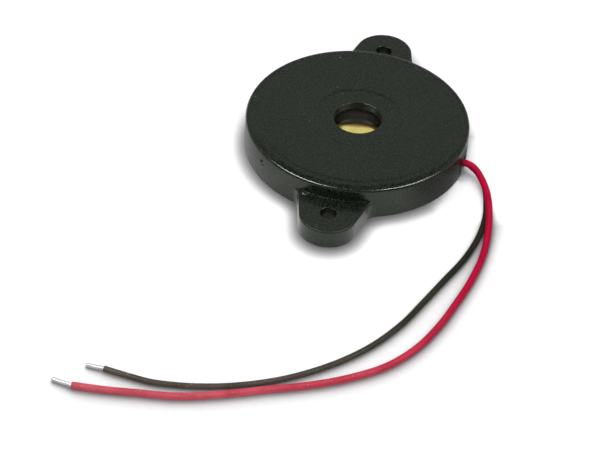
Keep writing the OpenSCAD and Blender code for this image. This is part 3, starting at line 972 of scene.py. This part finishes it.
def foot_fillet(turn, radius=0.14, reach=19.0):
    """A closed bar along the wall: a hollow (R + f - f sin a, T + f - f cos a) for a from 90
    to 0 degrees, with f fading to nothing at both ends, and its back inside the solid. The
    two faces that join hollow and back cross 0.05 mm out from wall and ear, so that what
    shows is a shallow V with the hollow just behind it."""
    b = np.linspace(-reach, reach, FILLET_STEPS)
    f = radius * np.sqrt(np.clip(1 - (b / reach) ** 4, 0.0004, 1))[None, :]
    a = np.linspace(np.pi / 2, 0, 7)[:, None]
    back = 0 * f - BURIED
    r = BODY_R + np.concatenate([f * (1 - np.sin(a)), back, back, f])
    z = EAR_T + np.concatenate([f * (1 - np.cos(a)), f, back, back])
    middle_r, middle_z = r.mean(0), z.mean(0)
    bearing = np.radians(90 + np.pad(b, 1, "edge"))
    r, z = (np.pad(v, ((0, 0), (1, 1)), "edge") for v in (r, z))
    r[:, [0, -1]], z[:, [0, -1]] = middle_r[[0, -1]], middle_z[[0, -1]]
    points = np.stack([r * np.cos(bearing) * turn, r * np.sin(bearing) * turn, z], -1)
    return points.reshape(-1, 3), grid_faces(*r.shape, wrap_rows=True)


fillets = [foot_fillet(-1), foot_fillet(1)]
parts = [body_part, front_ear, rear_ear, *fillets]
columns = FILLET_STEPS + 2
ends = np.tile(np.abs(np.linspace(-1, 1, columns)) > 0.7, len(fillets[0][0]) // columns)
marks = np.concatenate([body_edges, front_edges, rear_edges, ends, ends])
housing = mesh_object("housing_shell", parts, plastic, {"edge": marks})
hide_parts("housing")
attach(housing, "root")

# %% [markdown]
# ## Brass disc and the parts behind it
# Through the hole shows a disc of rolled brass. It is a good mirror with a slight waviness,
# fine rolling lines and a few brown spots. Its far half, away from the camera, is darkened as
# painted shade: first orange, then a dull grey with less metal. Behind it, out of sight, are
# the ceramic disc, the silicone, the solder and the wires. A new mesh could replace each, but
# their solids are right as they are, so they only get their finishes.

# %% Brass
brass, tree, shader = new_material("rolled_brass")
place = place_of(tree)
lines = noise(tree, drawn_out(tree, place, 0.6, 0.03), Scale=5000.0, Detail=2.0)
skin = use_group(tree, grain, Fine=2500.0, Cloud=420.0)
spots = use_group(tree, dust, Scale=650.0, Share=0.12, Size=0.25)["Mask"]
tone = layered(tree, blend(tree, skin["Cloud"], (0.93, 0.78, 0.22), (0.99, 0.88, 0.30)),
               (lines, 0.12, (0.60, 0.42, 0.14)), (spots, 0.6, (0.22, 0.12, 0.05)))
feed(tree, shader, Roughness=fit(tree, lines, 0.3, 0.7, 0.09, 0.15))
slow = noise(tree, place, Scale=260.0, Detail=1.0)
add_relief(tree, shader, calc(tree, "ADD", slow, times(tree, lines, 0.02)), 0.3, 0.00004)
print("clean brass with", len(tree.nodes), "nodes so far")

# %% Painted shade on the brass's far half
SHADED_BRASS, DEEP_SHADE_GREY = (0.20, 0.118, 0.04), (0.33, 0.32, 0.26)
x, y, _ = parts_of(tree, place)
# Painted shade: the half of the disc away from the camera goes orange-brown, then dull grey with
# less metal.
away = calc(tree, "SUBTRACT", y, times(tree, x, 0.16))
tone = blend(tree, fit(tree, away, 0.0002, 0.0010, 0.0, 0.95), tone, SHADED_BRASS)
deep_shade = fit(tree, away, 0.0014, 0.0022)
metal = calc(tree, "SUBTRACT", fit(tree, deep_shade, 0, 1, 0.97, 0.94),
             fit(tree, away, 0.0028, 0.0046, 0.0, 0.07))
feed(tree, shader, Base_Color=blend(tree, deep_shade, tone, DEEP_SHADE_GREY), Metallic=metal)
print("finish:", brass.name)

# %% [markdown]
# ### Ceramic, silicone and solder
# The ceramic is a pale fired disc with silver printed on its back, short of its edge. The
# silicone is a milky bead with dust on it, and the solder is bright and wrinkled. Nobody
# sees them in the whole object, but they show when it is taken apart, so each is finished.

# %% Ceramic with its electrode
ceramic, tree, shader = new_material("silvered_ceramic")
printed = times(tree, below(tree, off_axis(tree, place_of(tree)), 0.0118, 0.0119),
                below(tree, upness(tree), -0.6, -0.5))
skin = use_group(tree, grain, Fine=5000.0, Cloud=500.0)
bare = blend(tree, skin["Cloud"], (0.70, 0.66, 0.55), (0.78, 0.75, 0.65))
silver = blend(tree, skin["Tone"], (0.72, 0.72, 0.70), (0.86, 0.86, 0.85))
feed(tree, shader, Base_Color=blend(tree, printed, bare, silver),
     Metallic=times(tree, printed, 0.9), Roughness=fit(tree, skin["Tone"], 0, 1, 0.38, 0.55))
add_relief(tree, shader, skin["Height"], 0.3, 0.00001)
print("finish:", ceramic.name)

# %% Silicone and solder
silicone, tree, shader, tone = clouded(
    "silicone", 1800.0, 350.0, (0.55, 0.57, 0.57), (0.68, 0.70, 0.70), (0.28, 0.42), (0.5, 0.00008))
specks = use_group(tree, dust, Scale=1300.0, Share=0.2, Size=0.2)["Mask"]
feed(tree, shader, Base_Color=layered(tree, tone, (specks, 0.5, (0.35, 0.33, 0.30))))
solder = clouded("solder", 4000.0, 800.0, (0.55, 0.55, 0.54), (0.80, 0.80, 0.80),
                 (0.18, 0.40), (0.4, 0.00004), metallic=1.0)[0]
print("finish:", silicone.name)
print("finish:", solder.name)

# %% Put the finishes on the solids
FINISHES = {
    "housing": plastic, "back_cover": plastic, "diaphragm": brass, "ceramic_disc": ceramic,
    "adhesive_ring": silicone, "lead_adhesive": silicone,
    "red_solder_joint": solder, "black_solder_joint": solder,
    "red_inner_wire": tinned, "black_inner_wire": tinned,
    "red_wire_end": tinned, "black_wire_end": tinned,
    "red_lead": red_pvc, "black_lead": black_pvc}
for node, finish in FINISHES.items():
    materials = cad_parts[node].data.materials
    materials.clear()
    materials.append(finish)
print("solids finished:", len(FINISHES), "of", len(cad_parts))
